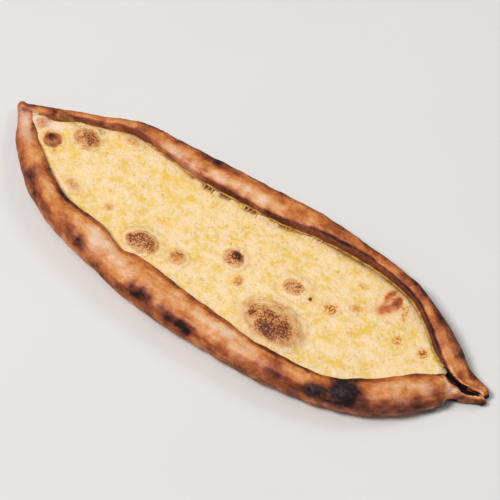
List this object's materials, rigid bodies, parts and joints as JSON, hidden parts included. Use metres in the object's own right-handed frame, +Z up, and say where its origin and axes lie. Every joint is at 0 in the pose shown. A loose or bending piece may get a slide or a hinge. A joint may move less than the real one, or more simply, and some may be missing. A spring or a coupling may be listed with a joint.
{
  "type": "cheese pide",
  "caption": "Boat-shaped flatbread with rolled, pinched and browned rims round a filling of melted, blistered cheese.",
  "frame": {"origin": "on the table under the middle of the loaf's bounding box", "axes": "+X along the loaf to the tip whose two lips stand open, +Y to the narrower rim, +Z up"},
  "size_m": [0.4732, 0.1556, 0.0279],
  "materials": {
    "bread": "dry, matte baked crust with browned and charred patches",
    "cheese": "satin melted cheese, slightly oily, with browned blisters"
  },
  "bodies": {
    "root": {"bread": "bread", "cheese": "cheese"}
  },
  "joints": []
}
